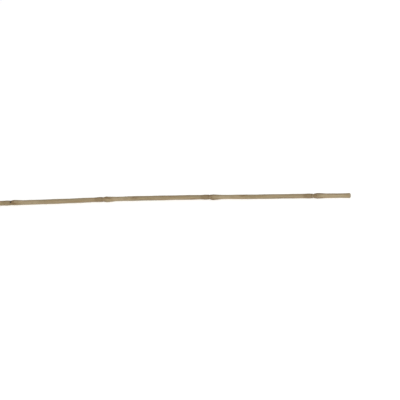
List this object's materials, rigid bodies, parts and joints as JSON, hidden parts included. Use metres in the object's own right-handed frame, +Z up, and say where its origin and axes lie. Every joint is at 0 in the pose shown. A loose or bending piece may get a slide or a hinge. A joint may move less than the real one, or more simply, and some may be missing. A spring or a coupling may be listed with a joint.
{
  "type": "bamboo garden cane",
  "caption": "Straight, slightly bowed bamboo cane with ringed nodes, trimmed of its branches and sawn square at both hollow ends.",
  "frame": {"origin": "centre of the cane's box, on the surface that the cane lies on", "axes": "+X along the cane from its thick butt end to its thin tip end, +Z up; the cane bows gently towards +Y"},
  "size_m": [0.9, 0.0162, 0.0116],
  "materials": {
    "bamboo_skin": "satin"
  },
  "bodies": {
    "root": {"bamboo_cane": "bamboo_skin"}
  },
  "joints": []
}
